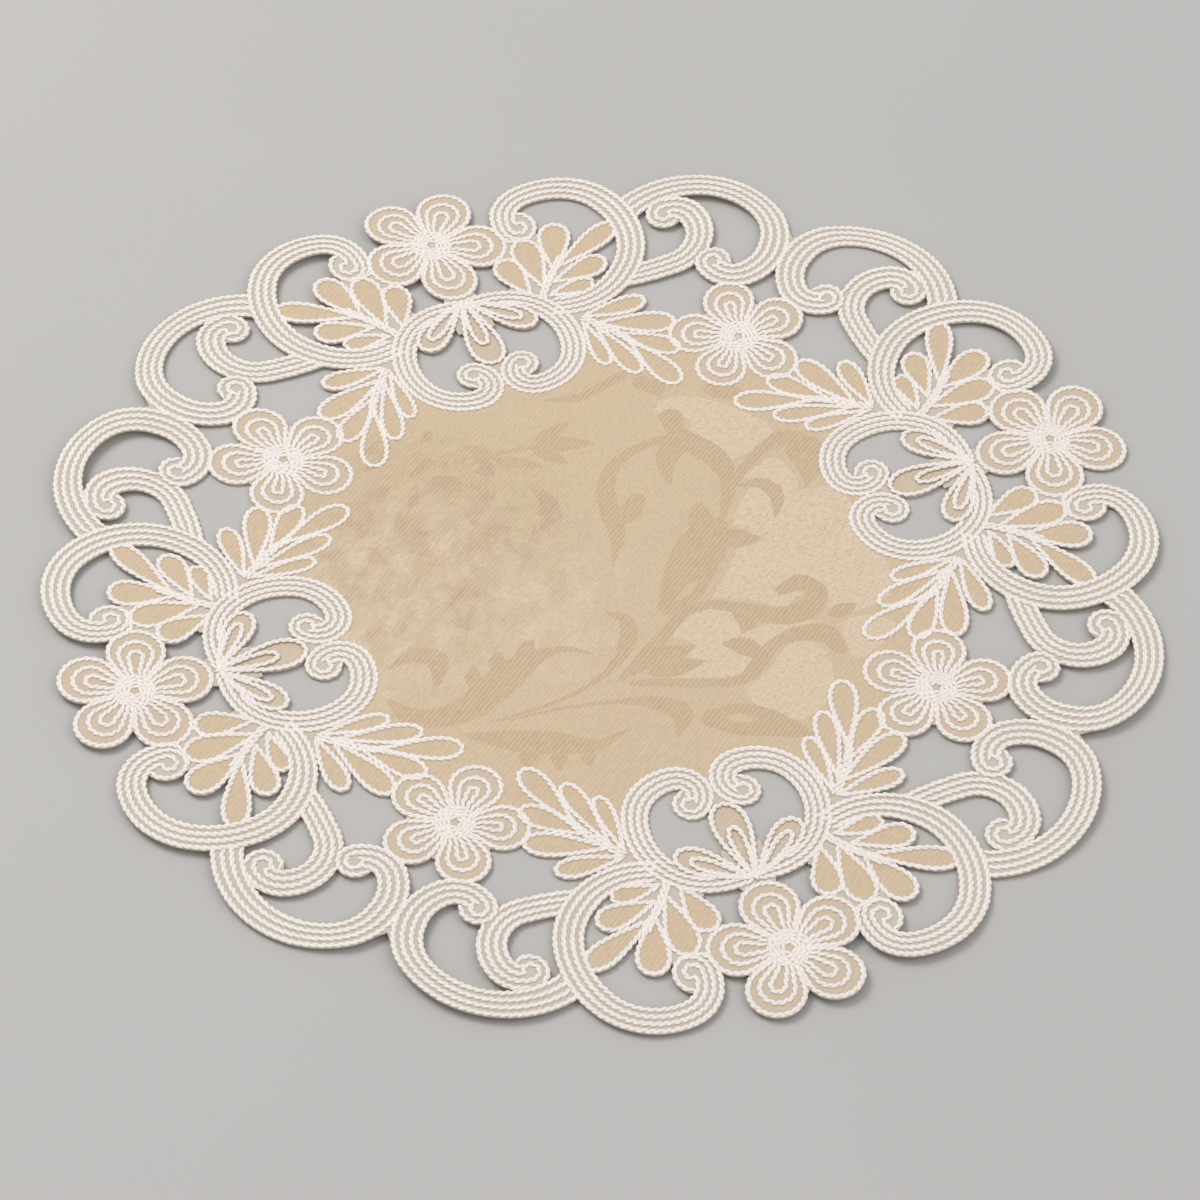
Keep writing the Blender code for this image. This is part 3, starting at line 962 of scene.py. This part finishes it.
def row_of_stitches(path, stitch, spacing, random, hidden_by):
    """The vertices of the stitches along a path in millimetres, apart from those inside the
    outlines."""
    lengths = lengths_along(path)
    count = max(2, round(lengths[-1] * MM / spacing))
    middles = (np.arange(count) + 0.5) / count * lengths[-1]
    middles += random.uniform(-UNEVEN_PLACE, UNEVEN_PLACE, count)
    spots = np.column_stack([np.interp(middles, lengths, values) for values in path.T])
    shown = np.ones(count, bool)
    for outline in hidden_by:
        shown &= ~covers(outline, spots)
    middles = middles[shown, None]
    tangents = np.gradient(path, axis=0)
    tangents /= np.hypot(*tangents.T)[:, None]
    path = np.vstack((path[0] - tangents[0] * ROW_END, path, path[-1] + tangents[-1] * ROW_END))
    tangents = np.vstack((tangents[0], tangents, tangents[-1]))
    lengths = np.concatenate(([-ROW_END], lengths, [lengths[-1] + ROW_END]))
    sizes = random.uniform(*UNEVEN_SIZE, (len(middles), 1, 3))
    along, across, up = (stitch * sizes).transpose(2, 0, 1)
    x, y, x_ahead, y_ahead = (
        np.interp(middles + along, lengths, values) for values in (*path.T, *tangents.T)
    )
    across /= np.hypot(x_ahead, y_ahead)
    return np.stack((x - y_ahead * across, y + x_ahead * across, up), axis=-1)


def stitched(context, name, groups):
    """One piece of stitching. Each group is its rows, the outlines that hide them, how much
    higher than the cloth they lie in millimetres, and the places where they are repeated."""
    name += "_stitching"
    settings = context.scene.doily_stitches
    stitch, stitch_faces, stitch_uvs = stitch_shape(settings)
    stitches = []
    mirrored = []
    for rows, hidden_by, layer, places in groups:
        random = np.random.default_rng(settings.seed)
        made = np.concatenate([
            row_of_stitches(row, stitch, settings.spacing, random, hidden_by) for row in rows
        ])
        for place in places:
            turned = made + (0, 0, layer)
            turned[..., :2] = made[..., :2] @ place
            stitches.append(turned)
            mirrored += [np.linalg.det(place) < 0] * len(made)
    points = np.concatenate(stitches).reshape(-1, 3)
    points[:, 2] += context.scene.doily_cloth.thickness / MM
    base = laid(points[:, :2])
    base[:, 2] += points[:, 2]
    faces = []
    uvs = []
    for number, flipped in enumerate(mirrored):
        for face, uv in zip(stitch_faces, stitch_uvs):
            corners = [corner + number * len(stitch) for corner in face]
            # the corners of a mirrored face run the other way, so that it faces outwards
            faces.append(corners[::-1] if flipped else corners)
            uvs.append(uv[::-1] if flipped else uv)
    mesh = bpy.data.meshes.new(name)
    mesh.from_pydata((base * MM).tolist(), [], faces)
    mesh.uv_layers.new(name="cord").data.foreach_set("uv", np.concatenate(uvs).ravel())
    mesh.shade_smooth()
    thread = bpy.data.materials.get("off_white_cord") or thread_material(settings)
    piece = mesh_object(name, mesh, thread)
    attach(piece, "root")


class DOILY_OT_scroll_stitching(bpy.types.Operator):
    """Stitch the four rows along each scroll of the border"""

    bl_idname = "doily.scroll_stitching"
    bl_label = "Scroll Stitching"

    def execute(self, context):
        great = outlines_of(GREAT_SCROLL)
        edge = outlines_of(EDGE_SCROLL)
        petals = [leaf_outline(AXIS_PETAL), leaf_outline(SIDE_PETAL)]
        for name, scroll, hidden_by in (
            ("great_scroll", GREAT_SCROLL, ()),
            ("inner_scroll", INNER_SCROLL, petals),
            ("edge_scroll", EDGE_SCROLL, great),
            ("small_scroll", SMALL_SCROLL, great + edge),
        ):
            stitched(context, name, [(scroll_rows(scroll), hidden_by, 0.0, EIGHTHS)])
        return {"FINISHED"}


class DOILY_OT_leaf_stitching(bpy.types.Operator):
    """Stitch round the leaves of the sprays"""

    bl_idname = "doily.leaf_stitching"
    bl_label = "Leaf Stitching"

    def execute(self, context):
        scrolls = outlines_of(GREAT_SCROLL, INNER_SCROLL)
        for name, leaves, stem in (
            ("upper_spray", UPPER_SPRAY, SPRAY_STEMS[0]),
            ("lower_spray", LOWER_SPRAY_AT_EDGE + LOWER_SPRAY_ON_MIDDLE, SPRAY_STEMS[1]),
        ):
            groups = [(stem_rows(stem), scrolls, STEM_LAYER, EIGHTHS)]
            for i, leaf in enumerate(leaves):
                earlier = [leaf_loop(other, HIDING_INSET)[:-1] for other in leaves[:i]]
                groups.append((leaf_rows([leaf]), scrolls + earlier, 0.0, EIGHTHS))
            stitched(context, name, groups)
        return {"FINISHED"}


class DOILY_OT_flower_stitching(bpy.types.Operator):
    """Stitch the flowers and the petals under them"""

    bl_idname = "doily.flower_stitching"
    bl_label = "Flower Stitching"

    def execute(self, context):
        for name, flower in (("axis_flower", AXIS_FLOWER), ("diagonal_flower", DIAGONAL_FLOWER)):
            stitched(context, name, [(flower_rows(flower), (), 0.0, QUARTERS)])
        axis = leaf_rows((AXIS_PETAL, AXIS_PETAL_HEART))
        side = leaf_rows((SIDE_PETAL, SIDE_PETAL_HEART))
        stitched(context, "hub_petal", [
            (axis, (), AXIS_PETAL_LAYER, QUARTERS),
            (side, [leaf_outline(AXIS_PETAL)], SIDE_PETAL_LAYER, EIGHTHS),
        ])
        return {"FINISHED"}


# ---- the stage

FLOOR_SIZE = 4.0  # from its middle to its sides, in metres
DAYLIGHT = (0.95, 0.97, 1.0, 1.0)  # the even light's colour


def area_light(name, place, size, power):
    """A round light that shines at the middle of the doily."""
    light = bpy.data.lights.new(name, "AREA")
    light.shape = "DISK"
    light.size = size
    light.energy = power
    obj = bpy.data.objects.new(name, light)
    obj.location = place
    obj.rotation_euler = (-obj.location).to_track_quat("-Z", "Y").to_euler()
    bpy.context.collection.objects.link(obj)


def look_from(azimuth, elevation, roll, distance, target):
    """The camera's matrix: azimuth 0 looks along +Y, and a roll leans it over."""
    level = np.cos(elevation)
    back = Vector((np.sin(azimuth) * level, -np.cos(azimuth) * level, np.sin(elevation)))
    right = Vector((0, 0, 1)).cross(back).normalized()
    turn = Matrix((right, back.cross(right), back)).transposed().to_4x4()
    place = Matrix.Translation(Vector(target) + back * distance)
    return place @ turn @ Matrix.Rotation(roll, 4, "Z")


class DOILY_OT_stage(bpy.types.Operator):
    """Make the pale floor, the soft lights and the camera"""

    bl_idname = "doily.stage"
    bl_label = "Stage"

    def execute(self, context):
        settings = context.scene.doily_stage
        bm = bmesh.new()
        bmesh.ops.create_grid(bm, x_segments=1, y_segments=1, size=FLOOR_SIZE)
        mesh = bpy.data.meshes.new("floor")
        bm.to_mesh(mesh)
        bm.free()
        mesh_object("floor", mesh, floor_material(settings))

        area_light("key_light", (-0.55, 0.75, 1.25), 0.9, settings.key_power)
        area_light("fill_light", (0.9, -0.8, 1.1), 1.4, settings.fill_power)
        world = bpy.data.worlds.new("soft_studio")
        world.use_nodes = True
        background = world.node_tree.nodes["Background"]
        background.inputs["Color"].default_value = DAYLIGHT
        background.inputs["Strength"].default_value = settings.sky
        context.scene.world = world
        context.scene.view_settings.view_transform = "Standard"

        camera = bpy.data.cameras.new("camera")
        camera.lens = settings.lens
        camera.clip_start = 0.05
        obj = bpy.data.objects.new("camera", camera)
        obj.matrix_world = look_from(
            settings.azimuth, settings.elevation, settings.roll, settings.distance, settings.target
        )
        context.collection.objects.link(obj)
        context.scene.camera = obj
        return {"FINISHED"}


# ---- the add-on


class DOILY_PT_panel(bpy.types.Panel):
    """Lists the doily's pieces and their settings"""

    bl_idname = "DOILY_PT_panel"
    bl_label = "Lace Doily"
    bl_space_type = "VIEW_3D"
    bl_region_type = "UI"
    bl_category = "Doily"

    def draw(self, context):
        for operator in OPERATORS:
            self.layout.operator(operator.bl_idname)
        for name, group in SETTINGS.items():
            box = self.layout.box()
            for key in group.__annotations__:
                box.prop(getattr(context.scene, name), key)


OPERATORS = (
    DOILY_OT_cloth,
    DOILY_OT_scroll_stitching,
    DOILY_OT_leaf_stitching,
    DOILY_OT_flower_stitching,
    DOILY_OT_stage,
)
SETTINGS = {
    "doily_cloth": DoilyClothSettings,
    "doily_stitches": DoilyStitchSettings,
    "doily_stage": DoilyStageSettings,
}
CLASSES = (*SETTINGS.values(), *OPERATORS, DOILY_PT_panel)


def register():
    for new_class in CLASSES:
        bpy.utils.register_class(new_class)
    for name, group in SETTINGS.items():
        setattr(bpy.types.Scene, name, PointerProperty(type=group))


def unregister():
    for name in SETTINGS:
        delattr(bpy.types.Scene, name)
    for old_class in reversed(CLASSES):
        bpy.utils.unregister_class(old_class)


def main():
    register()
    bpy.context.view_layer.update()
    bpy.ops.doily.cloth()
    bpy.ops.doily.scroll_stitching()
    bpy.ops.doily.leaf_stitching()
    bpy.ops.doily.flower_stitching()
    bpy.ops.doily.stage()
    bpy.context.view_layer.update()


if __name__ == "__main__":
    main()
